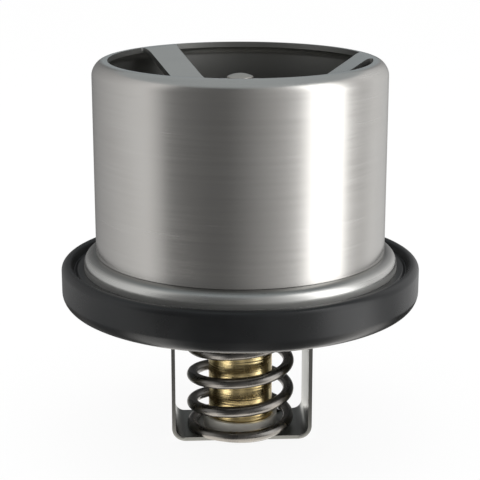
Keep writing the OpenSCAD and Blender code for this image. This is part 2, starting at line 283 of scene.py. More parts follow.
def noise(tree, scale, stretch=(1, 1, 1), detail=3.0):
    """Noise on the piece's own coordinates. Stretch multiplies the scale along X, Y and Z."""
    place = add(tree, "TexCoord")
    mapping = add(tree, "Mapping")
    mapping.inputs["Scale"].default_value = stretch
    pattern = add(tree, "TexNoise", scale=scale, detail=detail, roughness=NOISE_ROUGHNESS)
    tree.links.new(place.outputs["Object"], mapping.inputs["Vector"])
    tree.links.new(mapping.outputs["Vector"], pattern.inputs["Vector"])
    return pattern.outputs["Fac"]


def spread(tree, value, low, high, start=0.3, end=0.7):
    """Maps a value from start..end to low..high. The default start and end suit noise."""
    node = add(tree, "MapRange")
    node.inputs["From Min"].default_value = start
    node.inputs["From Max"].default_value = end
    node.inputs["To Min"].default_value = low
    node.inputs["To Max"].default_value = high
    tree.links.new(value, node.inputs["Value"])
    return node.outputs["Result"]


def blend(tree, factor, first, second):
    """Mixes two colours, each a colour or a socket, by a factor socket."""
    node = add(tree, "Mix", data_type="RGBA")
    tree.links.new(factor, node.inputs[0])
    for socket, value in ((node.inputs[6], first), (node.inputs[7], second)):
        if isinstance(value, bpy.types.NodeSocket):
            tree.links.new(value, socket)
        else:
            socket.default_value = (*value, 1)
    return node.outputs[2]


def compute(tree, operation, first, second=0.0):
    """A math node on two sockets or numbers."""
    node = add(tree, "Math", operation=operation)
    for socket, value in zip(node.inputs, (first, second)):
        if isinstance(value, bpy.types.NodeSocket):
            tree.links.new(value, socket)
        else:
            socket.default_value = value
    return node.outputs[0]


def axis_distance(tree):
    """The distance of each point from the upright axis, and its height."""
    place = add(tree, "TexCoord")
    split = add(tree, "SeparateXYZ")
    tree.links.new(place.outputs["Object"], split.inputs[0])
    square = compute(tree, "ADD", compute(tree, "POWER", split.outputs["X"], 2.0),
                     compute(tree, "POWER", split.outputs["Y"], 2.0))
    return compute(tree, "SQRT", square), split.outputs["Z"]


def facing(tree, axis):
    """How squarely each face looks along one of the piece's own axes, from -1 to 1."""
    place = add(tree, "TexCoord")
    split = add(tree, "SeparateXYZ")
    tree.links.new(place.outputs["Normal"], split.inputs[0])
    return split.outputs[axis]


def bump(tree, shader, height, strength, distance):
    node = add(tree, "Bump")
    node.inputs["Strength"].default_value = strength
    node.inputs["Distance"].default_value = distance
    tree.links.new(height, node.inputs["Height"])
    tree.links.new(node.outputs["Normal"], shader.inputs["Normal"])


print("node helpers ready")

# %% Brushed and plain steel
LINE_SCALE = 60
LINE_STRETCH = (1, 1, 90)
LINE_DEPTH = 0.03 * MM
COARSE_SCALE = 36
COARSE_STRETCH = 0.35
DARKER = 0.93
SMUDGE_SCALE = 90
SMUDGE_SHARE = 0.12
SMUDGE = (0.45, 0.42, 0.38)


def brushed_steel(name, colour, low=0.2, high=0.28, lines=0.1, stretch=LINE_STRETCH):
    """Steel with fine brushed lines. Returns its material, tree, shader and colour socket."""
    material, shader = new_material(name, colour)
    tree = material.node_tree
    fine = noise(tree, LINE_SCALE, stretch, detail=4.0)
    wider = tuple(s * COARSE_STRETCH if s > 1 else s for s in stretch)
    coarse = noise(tree, COARSE_SCALE, wider, detail=2.0)
    smudge = noise(tree, SMUDGE_SCALE, detail=2.0)
    # Half of a streak comes from the coarse lines and half from the fine ones.
    streaks = compute(tree, "MULTIPLY_ADD", coarse, 0.5)
    tree.links.new(compute(tree, "MULTIPLY", fine, 0.5), streaks.node.inputs[2])
    darker = tuple(c * DARKER for c in colour)
    tint = blend(tree, spread(tree, streaks, 0.0, 1.0), darker, colour)
    tint = blend(tree, spread(tree, smudge, 0.0, SMUDGE_SHARE), tint, SMUDGE)
    tree.links.new(tint, shader.inputs["Base Color"])
    shader.inputs["Metallic"].default_value = 1.0
    tree.links.new(spread(tree, streaks, low, high), shader.inputs["Roughness"])
    bump(tree, shader, streaks, lines, LINE_DEPTH)
    return material, tree, shader, tint


piston_steel, *_ = brushed_steel("piston_steel", (0.62, 0.58, 0.53), 0.25, 0.4, 0.2)
bridge_steel, *_ = brushed_steel("bridge_steel", (0.55, 0.55, 0.53), 0.3, 0.45, 0.15, (30, 1, 30))
print("plain steels", [m.name for m in (piston_steel, bridge_steel)])

# %% [markdown]
# The sleeve is bright outside, where it was brushed and polished. Inside, and on the cut edges of the
# windows, it keeps the rougher skin of the press, and its colour there is painted much darker as painted
# shade. So the colour and the roughness change with the distance from the axis and the slope of the face.
# The flange's seat is painted darker on its upward faces, as painted shade where the sleeve stands on it,
# and it is rough at its root, where the rubber hugs it. The stirrup's strip is painted dark as painted shade
# on its front and back edges, which are the sheared edges, and its collar is painted pale and made half
# metal as a painted highlight.

# %% Steel with more than one skin, with painted shade and a painted highlight
SLEEVE_INSIDE = 26.4 * MM
COLLAR_ZONE = 5 * MM
LOOKS_UP = 0.4
# Painted shade: the sleeve's inside and the cut edges of its windows are painted this dark grey.
INSIDE_SHADE_COLOUR = (0.29, 0.29, 0.28)
PRESS_ROUGHNESS = 0.46
# Painted shade: the seat's upward faces, where the sleeve stands, are painted this darker grey.
SEAT_SHADE_COLOUR = (0.34, 0.34, 0.33)
SEAT_LOOKS_UP = (0.6, 0.85)
SEAT_ROOT_Z = (3 * MM, 4 * MM)
SEAT_ROOT_ROUGHNESS = 0.6
# Painted shade: the strap's front and back sheared edges are painted this dark grey.
EDGE_SHADE_COLOUR = (0.2, 0.2, 0.19)
LOOKS_SIDEWAYS = 0.7
# Painted highlight: the stirrup's collar, inside the next radius, is painted this pale colour at half metal.
COLLAR_HIGHLIGHT_COLOUR = (0.74, 0.72, 0.66)
COLLAR_HIGHLIGHT_R = 7.2 * MM
COLLAR_HIGHLIGHT_METAL = 0.5


def roughen(tree, shader, least):
    """Makes the finish at least as rough as a socket says."""
    rough = shader.inputs["Roughness"].links[0].from_socket
    tree.links.new(compute(tree, "MAXIMUM", rough, least), shader.inputs["Roughness"])


def sleeve_finish():
    material, tree, shader, tint = brushed_steel("sleeve_steel", (0.66, 0.645, 0.62))
    distance = axis_distance(tree)[0]
    inside = compute(tree, "LESS_THAN", distance, SLEEVE_INSIDE)
    outside_collar = compute(tree, "GREATER_THAN", distance, COLLAR_ZONE)
    not_on_top = compute(tree, "LESS_THAN", facing(tree, "Z"), LOOKS_UP)
    # This mask paints the inside and the cut edges darker as painted shade, and makes them rougher.
    dull = compute(tree, "MULTIPLY", compute(tree, "MULTIPLY", inside, outside_collar), not_on_top)
    tree.links.new(blend(tree, dull, tint, INSIDE_SHADE_COLOUR), shader.inputs["Base Color"])
    roughen(tree, shader, compute(tree, "MULTIPLY", dull, PRESS_ROUGHNESS))
    return material


def flange_finish():
    material, tree, shader, tint = brushed_steel("flange_steel", (0.68, 0.68, 0.66), 0.24, 0.34, 0.15)
    # Upward faces of the seat are painted darker here as painted shade.
    top = spread(tree, facing(tree, "Z"), 0.0, 1.0, *SEAT_LOOKS_UP)
    tree.links.new(blend(tree, top, tint, SEAT_SHADE_COLOUR), shader.inputs["Base Color"])
    roughen(tree, shader, spread(tree, axis_distance(tree)[1], SEAT_ROOT_ROUGHNESS, 0.0, *SEAT_ROOT_Z))
    return material


def stirrup_finish():
    material, tree, shader, tint = brushed_steel(
        "stirrup_steel", (0.5, 0.52, 0.51), 0.28, 0.42, 0.15, (1, 30, 1))
    # The strap's front and back edges are painted dark here as painted shade.
    edge = compute(tree, "GREATER_THAN", compute(tree, "ABSOLUTE", facing(tree, "Y")), LOOKS_SIDEWAYS)
    tint = blend(tree, edge, tint, EDGE_SHADE_COLOUR)
    # The collar is painted pale and made less metallic here as a painted highlight.
    collar = compute(tree, "LESS_THAN", axis_distance(tree)[0], COLLAR_HIGHLIGHT_R)
    tree.links.new(blend(tree, collar, tint, COLLAR_HIGHLIGHT_COLOUR), shader.inputs["Base Color"])
    tree.links.new(spread(tree, collar, 1.0, COLLAR_HIGHLIGHT_METAL, 0.0, 1.0), shader.inputs["Metallic"])
    return material


sleeve_steel = sleeve_finish()
flange_steel = flange_finish()
stirrup_steel = stirrup_finish()
print(sleeve_steel.name, "with", len(sleeve_steel.node_tree.nodes), "nodes")

# %% [markdown]
# The spring is oil-tempered wire: nearly black, smooth and a little oily, so it takes small bright
# highlights. The cup and the guide are brass that has dulled unevenly in storage.

# %% Spring steel and brass
WIRE_DARK = (0.14, 0.135, 0.13)
WIRE_PALE = (0.26, 0.245, 0.225)
PATCH_SCALE = 240
WIRE_GRAIN = 1500
WIRE_GRAIN_DEPTH = 0.02 * MM
CLOUD_SCALE = 160
CLOUD_STRETCH = (1, 1, 0.4)
RING_STRETCH = (1, 1, 60)
RING_DEPTH = 0.06 * MM
DULLED = (0.7, 0.64, 0.55)


def spring_finish():
    material, shader = new_material("spring_steel", (0.2, 0.19, 0.175))
    tree = material.node_tree
    patch = noise(tree, PATCH_SCALE, detail=4.0)
    tint = blend(tree, spread(tree, patch, 0.0, 1.0), WIRE_DARK, WIRE_PALE)
    tree.links.new(tint, shader.inputs["Base Color"])
    shader.inputs["Metallic"].default_value = 1.0
    tree.links.new(spread(tree, patch, 0.2, 0.36), shader.inputs["Roughness"])
    bump(tree, shader, noise(tree, WIRE_GRAIN, detail=2.0), 0.1, WIRE_GRAIN_DEPTH)
    return material


def brass(name, colour):
    material, shader = new_material(name, colour)
    tree = material.node_tree
    cloud = noise(tree, CLOUD_SCALE, CLOUD_STRETCH, detail=4.0)
    rings = noise(tree, LINE_SCALE, RING_STRETCH)
    dull = tuple(c * k for c, k in zip(colour, DULLED))
    tint = blend(tree, spread(tree, cloud, 0.0, 0.8), colour, dull)
    tree.links.new(tint, shader.inputs["Base Color"])
    shader.inputs["Metallic"].default_value = 1.0
    tree.links.new(spread(tree, cloud, 0.14, 0.28), shader.inputs["Roughness"])
    bump(tree, shader, rings, 1.0, RING_DEPTH)
    return material


spring_steel = spring_finish()
cup_brass = brass("cup_brass", (0.88, 0.73, 0.4))
guide_brass = brass("guide_brass", (0.88, 0.74, 0.42))
print("wire and brass ready")

# %% [markdown]
# ## Rubber, wax and the washer
# The rim is moulded rubber, black with a soft grey sheen where it turns to the light. A rough shader with
# a fine bump gives that. The boot, the wax and the washer sit inside the element and show only when the
# piece is cut open, so they get plain finishes that are still true to them.

# %% Soft materials
SOFT_CLOUD_SCALE = 110


def moulded(name, colour, pale, low, high, grain, grain_height, shine=0.5):
    """Rubber or wax, from one colour to a paler one and from one roughness to another."""
    material, shader = new_material(name, colour)
    shader.inputs["Specular IOR Level"].default_value = shine
    tree = material.node_tree
    cloud = noise(tree, SOFT_CLOUD_SCALE, detail=4.0)
    tree.links.new(blend(tree, spread(tree, cloud, 0.0, 1.0), colour, pale), shader.inputs["Base Color"])
    tree.links.new(spread(tree, cloud, low, high), shader.inputs["Roughness"])
    bump(tree, shader, noise(tree, grain, detail=2.0), 0.2, grain_height)
    return material


rim_rubber = moulded(
    "rim_rubber", (0.005, 0.0055, 0.006), (0.008, 0.009, 0.01), 0.24, 0.34, 1400, 0.02 * MM, 0.42)
boot_rubber = moulded("boot_rubber", (0.02, 0.019, 0.019), (0.035, 0.033, 0.032), 0.5, 0.65, 1600, 0.02 * MM)
wax = moulded("wax", (0.72, 0.62, 0.38), (0.8, 0.72, 0.5), 0.4, 0.6, 900, 0.03 * MM)
washer_white = moulded("washer_white", (0.8, 0.8, 0.77), (0.87, 0.87, 0.85), 0.35, 0.45, 1200, 0.01 * MM)
print("soft materials ready")

# %% [markdown]
# ## Finishing a piece
# Every sheet edge is eased a little, because a knife-sharp edge never catches the light. Smooth shading
# stops at real corners, and weighted normals keep the flats flat beside the eased edges. Then the piece
# gets its name and finish, and is tied to the body that it moves with.

# %% Finishing
EASE = 0.12 * MM
STRAP_EASE = 0.1 * MM
TURNED_EASE = 0.08 * MM
EASE_ANGLE = math.radians(50)
DOME_EASE_ANGLE = math.radians(30)
SMOOTH_ANGLE = math.radians(35)


def ease_edges(width=EASE, angle=EASE_ANGLE):
    apply_modifier("BEVEL", width=width, segments=2, limit_method="ANGLE", angle_limit=angle,
                   use_clamp_overlap=True)


def finish_piece(piece, name, material, body, nodes):
    """Names, smooths, paints and ties a finished piece, and says what it is."""
    bpy.ops.object.transform_apply(location=True, rotation=True, scale=True)
    piece.name = name
    piece.data.name = name
    piece.data.materials.clear()
    piece.data.materials.append(material)
    bpy.ops.object.shade_smooth_by_angle(angle=SMOOTH_ANGLE)
    apply_modifier("WEIGHTED_NORMAL", keep_sharp=True, weight=50)
    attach(piece, body)
    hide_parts(*nodes)
    sides = sum(len(face.vertices) - 2 for face in piece.data.polygons)
    print(name, "rides on", body, "with", sides, "triangles and", open_edges(piece), "open edges")
    return piece


print("edges are eased by", EASE / MM, "mm")

# %% [markdown]
# ## The sleeve
# The moving valve is one drawn cup, upside down: a straight wall, a rounded rim, three sloping arms and a
# flat hub with a collar round the piston. The skin is raised as one line. The windows between the arms are
# then punched with a cutter, as in the press, and a boolean modifier does the punching. The cutter is the
# outline of one window, a wedge between two arms, whose corners are rounded before it is made tall.
# The line turns by more than a right angle over the rim, and one bevel there would come out oval. So the
# corner is cut off first, and the two folds that are left are bevelled one after the other. `BEND_ROOM`
# keeps the second bend from running into the first.

# %% Sleeve sizes
SLEEVE_LOW, SLEEVE_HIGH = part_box("sleeve")
PISTON_LOW, PISTON_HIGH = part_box("piston")
SLEEVE_R = SLEEVE_HIGH.x
SLEEVE_SIDES = 288
SHEET = 1.0 * MM
RIM_R = 2.7 * MM
BEND_ROOM = 0.01 * MM
ARM_SLOPE = math.radians(33.5)
ARM_W = 7.0 * MM
ARM_TURN = math.radians(8.2)
ARM_SPACING = math.radians(120)
HUB_R = 14.65 * MM
HUB_BEND = 1.0 * MM
COLLAR_H = 1.6 * MM
WINDOW_R = 24.1 * MM
WINDOW_CORNER = 2.0 * MM
PISTON_R = PISTON_HIGH.x
RIM_Z = SLEEVE_HIGH.z - RIM_R
RIM_CORNER_Z = RIM_Z + RIM_R * (1 + math.sin(ARM_SLOPE)) / math.cos(ARM_SLOPE)
HUB_Z = RIM_CORNER_Z - (SLEEVE_R - HUB_R) * math.tan(ARM_SLOPE)
print("hub at", round(HUB_Z / MM, 2), "mm")


# %% Sleeve skin
def raise_sleeve():
    collar_r = PISTON_R + SHEET
    cut_off = RIM_R * math.tan((math.pi / 2 + ARM_SLOPE) / 4)
    along, across = math.cos(ARM_SLOPE), math.sin(ARM_SLOPE)
    path = [
        (SLEEVE_R, SLEEVE_LOW.z),
        (SLEEVE_R, RIM_Z + cut_off),
        (SLEEVE_R - RIM_R * (1 + across) + cut_off * along, RIM_Z + RIM_R * along + cut_off * across),
        (HUB_R, HUB_Z),
        (collar_r, HUB_Z),
        (collar_r, HUB_Z + COLLAR_H),
    ]
    bend = RIM_R - BEND_ROOM
    return turned_sheet(path, [bend, bend, HUB_BEND, SHEET / 2], SHEET, SLEEVE_SIDES)


sleeve = raise_sleeve()
print("sleeve skin has", len(sleeve.data.polygons), "faces")

# %% Window cutter
WINDOW_STEPS = 40
CORNER_STEPS = 8
CUTTER_BELOW = 6 * MM
CUTTER_H = 20 * MM


def window_outline():
    """The corners and the two arcs of one window, seen from above, between the first two arms."""
    half = ARM_W / 2
    outline = []
    for radius in (WINDOW_R, HUB_R):
        start = math.asin(half / radius)
        end = ARM_SPACING - start
        arc = [start + (end - start) * k / WINDOW_STEPS for k in range(WINDOW_STEPS + 1)]
        arc = arc if radius == WINDOW_R else arc[::-1]
        outline += [(radius * math.cos(a), radius * math.sin(a)) for a in arc]
    return outline


def make_cutter():
    """A tall prism with the window's outline, rounded at its four corners."""
    outline = window_outline()
    start_piece()
    bpy.ops.mesh.primitive_circle_add(
        vertices=len(outline), radius=WINDOW_R, fill_type="NGON", enter_editmode=True)
    mesh = bmesh.from_edit_mesh(bpy.context.object.data)
    mesh.verts.ensure_lookup_table()
    for vertex, (x, y) in zip(mesh.verts, outline):
        vertex.co = (x, y, 0)
    bmesh.update_edit_mesh(bpy.context.object.data)
    for radius, first, side in ((WINDOW_R, 0, 1), (HUB_R, WINDOW_STEPS + 1, -1)):
        ends = [Vector((*outline[i], 0)) for i in (first, first + WINDOW_STEPS)]
        fold = math.pi / 2 + side * math.asin(ARM_W / 2 / radius)
        pick("VERT", lambda v: any((v.co - end).length < TINY for end in ends))
        bpy.ops.mesh.bevel(offset=WINDOW_CORNER * math.tan(fold / 2), affect="VERTICES",
                           segments=CORNER_STEPS, clamp_overlap=False)
    bpy.ops.mesh.select_all(action="SELECT")
    bpy.ops.transform.translate(value=(0, 0, HUB_Z - CUTTER_BELOW))
    bpy.ops.mesh.extrude_region_move(TRANSFORM_OT_translate={"value": (0, 0, CUTTER_H)})
    bpy.ops.mesh.select_all(action="SELECT")
    bpy.ops.mesh.normals_make_consistent(inside=False)
    bpy.ops.object.mode_set(mode="OBJECT")
    return bpy.context.object


print("window outline has", len(window_outline()), "points")


# %% Punch the windows and the slots
def activate(piece):
    start_piece()
    piece.select_set(True)
    bpy.context.view_layer.objects.active = piece


def punch(piece, cutter):
    """Cuts one solid out of a piece and takes the cutter away."""
    activate(piece)
    apply_modifier("BOOLEAN", object=cutter, operation="DIFFERENCE", solver="EXACT")
    bpy.data.objects.remove(cutter)


def block(size, place):
    """A box of that size, its centre at that place."""
    start_piece()
    bpy.ops.mesh.primitive_cube_add(size=1, location=place, scale=size)
    bpy.ops.object.transform_apply(location=True, rotation=True, scale=True)
    return bpy.context.object


STIRRUP_LOW, STIRRUP_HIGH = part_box("stirrup")
STRAP = 0.7 * MM
LEG_X = 13.25 * MM
TAB_W = 6.0 * MM
TAB_FIT = 0.1 * MM

for k in range(3):
    cutter = make_cutter()
    cutter.rotation_euler.z = ARM_TURN + k * ARM_SPACING
    bpy.ops.object.transform_apply(location=True, rotation=True, scale=True)
    punch(sleeve, cutter)
for side in (-1, 1):
    slot = block((STRAP + 2 * TAB_FIT, TAB_W + 2 * TAB_FIT, 4 * SHEET),
                 (side * (LEG_X - STRAP / 2), 0, HUB_Z))
    punch(sleeve, slot)
activate(sleeve)
ease_edges()
finish_piece(sleeve, "sleeve_skin", sleeve_steel, "valve", ["sleeve"])

# %% [markdown]
# ## The piston
# Only the domed end shows, as a small button in the hub's collar. It is a turned pin: the line starts on
# the axis, goes up the side and closes over the dome.

# %% Piston
PISTON_SIDES = 64
DOME_H = 0.6 * MM
DOME_STEPS = 8
TIP_CHAMFER = 0.2 * MM


def make_piston():
    dome_r = (PISTON_R ** 2 + DOME_H ** 2) / (2 * DOME_H)
    dome_angle = math.asin(PISTON_R / dome_r)
    centre = PISTON_HIGH.z - dome_r
    path = [(0, PISTON_LOW.z), (PISTON_R - TIP_CHAMFER, PISTON_LOW.z), (PISTON_R, PISTON_LOW.z + TIP_CHAMFER)]
    for k in range(DOME_STEPS + 1):
        angle = dome_angle * (1 - k / DOME_STEPS)
        path.append((dome_r * math.sin(angle), centre + dome_r * math.cos(angle)))
    return turned_solid(path, [], PISTON_SIDES)


piston = make_piston()
ease_edges(TURNED_EASE, DOME_EASE_ANGLE)
finish_piece(piston, "piston_pin", piston_steel, "valve", ["piston"])

# %% [markdown]
# ## The flange and its rubber
# The flange is pressed from one sheet: a flat rim inside the rubber, a short wall, the bright seat that
# the sleeve stands on, and a lip that turns down inside. The rubber is moulded round the rim plate. Its
# section is walked once round, and the metal inside it is left out, so the two never share a face.

# %% Flange plate
FLANGE_LOW, FLANGE_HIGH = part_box("flange_plate")
FLANGE_SHEET = 1.2 * MM
SEAT_OUTSIDE = 2.3 * MM
SEAT_INSIDE = 2.1 * MM
SEAT_R = SLEEVE_R + SEAT_OUTSIDE
SEAT_BORE = SLEEVE_R - SHEET - SEAT_INSIDE
SEAT_BEND = 2.2 * MM
INNER_LIP_H = 3.8 * MM
INNER_LIP_BEND = 1.6 * MM
RIM_PLATE_Z = FLANGE_LOW.z + FLANGE_SHEET
RIM_PLATE_R = FLANGE_HIGH.x

flange = turned_sheet(
    [
        (RIM_PLATE_R, RIM_PLATE_Z),
        (SEAT_R, RIM_PLATE_Z),
        (SEAT_R, FLANGE_HIGH.z),
        (SEAT_BORE, FLANGE_HIGH.z),
        (SEAT_BORE, FLANGE_HIGH.z - INNER_LIP_H),
    ],
    [FLANGE_SHEET / 2, SEAT_BEND, INNER_LIP_BEND], FLANGE_SHEET)
ease_edges()
finish_piece(flange, "flange_shell", flange_steel, "base", ["flange_plate"])

# %% Rubber rim
SEAL_LOW, SEAL_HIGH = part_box("flange_seal")
SEAL_R = SEAL_HIGH.x
TOP_BEND = 1.2 * MM
FOOT_BEND = 2.7 * MM
CROWN_R = SEAL_R - TOP_BEND
CROWN_W = 0.6 * MM
LIP_Z = 2.25 * MM
GROOVE_Z = 1.75 * MM
UNDER_W = 2.1 * MM
UNDER_R = SEAT_R - UNDER_W
SEAL_BENDS = [0.4 * MM, FOOT_BEND, TOP_BEND, 0.5 * MM, 0.2 * MM, 0.25 * MM, 0.12 * MM]
SEAL_GAP = 0.01 * MM


def make_seal():
    plate_edge = RIM_PLATE_R + SEAL_GAP
    plate_top = RIM_PLATE_Z + SEAL_GAP
    plate_under = FLANGE_LOW.z - SEAL_GAP
    hug_r = SEAT_R + SEAL_GAP
    path = [
        (UNDER_R, plate_under),
        (UNDER_R, SEAL_LOW.z),
        (SEAL_R, SEAL_LOW.z),
        (SEAL_R, SEAL_HIGH.z),
        (CROWN_R - CROWN_W, SEAL_HIGH.z),
        (CROWN_R - 2 * CROWN_W, GROOVE_Z),
        (CROWN_R - 3 * CROWN_W, LIP_Z),
        (hug_r, LIP_Z),
        (hug_r, plate_top),
        (plate_edge, plate_top),
        (plate_edge, plate_under),
        (UNDER_R, plate_under),
    ]
    return turned_solid(path, SEAL_BENDS)


seal = make_seal()
finish_piece(seal, "rubber_rim", rim_rubber, "base", ["flange_seal"])

# %% [markdown]
# ## The return spring
# A coil spring is one circle of wire that climbs as it goes round. The screw modifier climbs evenly, but a
# real compression spring closes up at both ends, so the evenly wound coil is then re-spaced: each point
# finds how many turns it is from the lower end, and moves to the height of that turn. Last, both ends are
# ground flat, which is two bisects. A bisect's own tolerance is too coarse for a part of this size, and
# would leave stray faces in the long thin cut, so it is set much finer. On the real thermostat the coil is
# squeezed up to its fixed top end when the valve opens.

# %% Coil sizes
SPRING_LOW, SPRING_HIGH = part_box("return_spring")
WIRE_R = 1.05 * MM
COIL_R = 9.25 * MM
CLOSED_TURNS = 0.8
ACTIVE_TURNS = 4.2
TURNS = ACTIVE_TURNS + 2 * CLOSED_TURNS
TIP_H = 0.4 * MM
TIP_ANGLE = math.radians(33)
CLOSED_PITCH = 2.2 * MM
EASE_TURNS = 0.3
STEPS_PER_TURN = 72
WIRE_SIDES = 24
FIRST_Z = SPRING_LOW.z + TIP_H - WIRE_R
LAST_Z = SPRING_HIGH.z - TIP_H + WIRE_R
EVEN_PITCH = (LAST_Z - FIRST_Z) / TURNS
OPEN_PITCH = (LAST_Z - FIRST_Z - 2 * CLOSED_TURNS * CLOSED_PITCH) / ACTIVE_TURNS
print("open coils are", round(OPEN_PITCH / MM, 2), "mm apart")


# %% Wind the coil
def eased(n):
    if n <= -EASE_TURNS / 2:
        return 0
    if n >= EASE_TURNS / 2:
        return n
    return (n + EASE_TURNS / 2) ** 2 / (2 * EASE_TURNS)


def coil_height(n):
    extra = eased(n - CLOSED_TURNS) - eased(n - CLOSED_TURNS - ACTIVE_TURNS)
    return FIRST_Z + CLOSED_PITCH * n + (OPEN_PITCH - CLOSED_PITCH) * extra


def wind_coil():
    """An evenly wound coil of the right number of turns, from the lower tip up."""
    start_piece()
    bpy.ops.mesh.primitive_circle_add(
        vertices=WIRE_SIDES, radius=WIRE_R, location=(COIL_R, 0, 0), rotation=(math.pi / 2, 0, 0))
    bpy.ops.object.transform_apply(location=True, rotation=True, scale=True)
    apply_modifier("SCREW", angle=2 * math.pi * TURNS, screw_offset=EVEN_PITCH * TURNS,
                   steps=round(TURNS * STEPS_PER_TURN), iterations=1, use_merge_vertices=False)
    return bpy.context.object


def respace(piece):
    """Moves every point of the even coil to the height that its own turn has on the real spring."""
    for vertex in piece.data.vertices:
        angle = math.atan2(vertex.co.y, vertex.co.x) / (2 * math.pi)
        turn = angle + round(vertex.co.z / EVEN_PITCH - angle)
        vertex.co.z += coil_height(turn) - turn * EVEN_PITCH


spring = wind_coil()
respace(spring)
print("coil has", len(spring.data.vertices), "points")


# %% Grind the ends
def grind(height, up):
    """Cuts the coil flat at a height, and closes the cut."""
    bpy.ops.mesh.select_all(action="SELECT")
    bpy.ops.mesh.bisect(plane_co=(0, 0, height), plane_no=(0, 0, 1), use_fill=True,
                        clear_outer=up, clear_inner=not up, threshold=TINY)


spring.rotation_euler.z = TIP_ANGLE
bpy.ops.object.transform_apply(location=True, rotation=True, scale=True)
bpy.ops.object.mode_set(mode="EDIT")
bpy.ops.mesh.select_all(action="SELECT")
bpy.ops.mesh.fill_holes(sides=0)
bpy.ops.mesh.normals_make_consistent(inside=False)
grind(SPRING_LOW.z, up=False)
grind(SPRING_HIGH.z, up=True)
bpy.ops.mesh.select_all(action="SELECT")
bpy.ops.mesh.normals_make_consistent(inside=False)
bpy.ops.object.mode_set(mode="OBJECT")
finish_piece(spring, "coil_spring", spring_steel, "base", ["return_spring"])

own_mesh(spring)

# %% [markdown]
# ## The wax element
# The brass cup holds the wax, and its top is crimped over the guide. Both are turned. The guide's tower
# stands inside the sleeve, and it shows through the windows from above.

# %% Cup and guide
ELEMENT_SIDES = 128
CUP_LOW, CUP_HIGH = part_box("element_cup")
CUP_R = 6.1 * MM
CUP_SHEET = 0.8 * MM
CUP_END_BEND = 1.2 * MM
CUP_STEP_BEND = 0.12 * MM
CUP_FIT = 0.25 * MM
CRIMP_R = CUP_HIGH.x
CRIMP_W = 1.8 * MM
CRIMP_BEND = 0.9 * MM
BRIDGE_TOP = -2.8 * MM
cup = turned_sheet(
    [
        (0, CUP_LOW.z),
        (CUP_R, CUP_LOW.z),
        (CUP_R, BRIDGE_TOP),
        (CRIMP_R, BRIDGE_TOP),
        (CRIMP_R, CUP_HIGH.z),
        (CRIMP_R - CRIMP_W, CUP_HIGH.z),
    ],
    [CUP_END_BEND, CUP_STEP_BEND, CRIMP_BEND, CRIMP_BEND], CUP_SHEET, ELEMENT_SIDES)
ease_edges(TURNED_EASE)
finish_piece(cup, "brass_cup", cup_brass, "base", ["element_cup"])

GUIDE_LOW, GUIDE_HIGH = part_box("element_guide")
GUIDE_R = 5.0 * MM
GUIDE_FIT = 0.05 * MM
POCKET_W = 1.75 * MM
POCKET_H = 1.2 * MM
CHAMFER = 0.6 * MM
GUIDE_BORE = PISTON_R + GUIDE_FIT
GUIDE_POCKET = PISTON_R + POCKET_W
POCKET_Z = GUIDE_LOW.z + POCKET_H
BASE_TOP = CUP_HIGH.z - CUP_SHEET - GUIDE_FIT
guide = turned_solid(
    [
        (GUIDE_POCKET, GUIDE_LOW.z),
        (GUIDE_HIGH.x, GUIDE_LOW.z),
        (GUIDE_HIGH.x, BASE_TOP),
        (GUIDE_R, BASE_TOP),
        (GUIDE_R, GUIDE_HIGH.z - CHAMFER),
        (GUIDE_R - CHAMFER, GUIDE_HIGH.z),
        (GUIDE_BORE + CHAMFER / 2, GUIDE_HIGH.z),
        (GUIDE_BORE, GUIDE_HIGH.z - CHAMFER / 2),
        (GUIDE_BORE, POCKET_Z),
        (GUIDE_POCKET, POCKET_Z),
        (GUIDE_POCKET, GUIDE_LOW.z),
    ],
    [], ELEMENT_SIDES)
ease_edges(TURNED_EASE)
finish_piece(guide, "brass_guide", guide_brass, "base", ["element_guide"])

# %% [markdown]
# ## The bridge
# The bridge is a dished strap across the flange. It starts as a full dish, turned like the other sheets,
# and two bisects trim it to its width, which is how the press makes it too: form first, then trim.

# %% Bridge
BRIDGE_LOW, BRIDGE_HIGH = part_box("bridge")
BRIDGE_SHEET = 1.2 * MM
BRIDGE_BORE = CUP_R + CUP_FIT
BRIDGE_END = BRIDGE_HIGH.y
BRIDGE_FLAT = 15.0 * MM
BRIDGE_RISE = math.radians(12)
DISH_BEND = 3.0 * MM
END_BEND = 2.4 * MM


def make_bridge():
    end_z = BRIDGE_LOW.z + (BRIDGE_END - BRIDGE_FLAT) * math.tan(BRIDGE_RISE)
    dish = turned_sheet(
        [
            (BRIDGE_BORE, BRIDGE_LOW.z),
            (BRIDGE_FLAT, BRIDGE_LOW.z),
            (BRIDGE_END, end_z),
            (BRIDGE_END, BRIDGE_HIGH.z),
        ],
        [DISH_BEND, END_BEND], BRIDGE_SHEET)
    bpy.ops.object.mode_set(mode="EDIT")
    for side in (-1, 1):
        bpy.ops.mesh.select_all(action="SELECT")
        bpy.ops.mesh.bisect(plane_co=(side * BRIDGE_HIGH.x, 0, 0), plane_no=(side, 0, 0),
                            use_fill=True, clear_outer=True)
    bpy.ops.object.mode_set(mode="OBJECT")
    return dish


bridge = make_bridge()
ease_edges()
finish_piece(bridge, "cross_bridge", bridge_steel, "base", ["bridge"])

# %% [markdown]
# ## The stirrup
# A steel strap goes down one side of the spring, under it and up the other side. It is one grid of faces:
# the bottom first, then each leg pulled up from its end edge, then a narrow tab from the middle of the
# leg's top. The two folds are bevelled, and the sheet gets its thickness inwards. The round pad that seats
# the spring is a turned sheet, joined on with a boolean.

# %% Strap
STRAP_W = 14.0 * MM
STRAP_BEND = 2.5 * MM
STRAP_BEND_STEPS = 12
CLINCH_H = 0.7 * MM
CLINCH_W = 0.45 * MM
SHOULDER_Z = HUB_Z - SHEET


def edge_between(edge, x, z, half_width):
    """True for an edge that runs across the strap at x and z, within half a width of its middle."""
    return all(abs(v.co.x - x) < TINY and abs(v.co.z - z) < TINY and abs(v.co.y) < half_width + TINY
               for v in edge.verts)


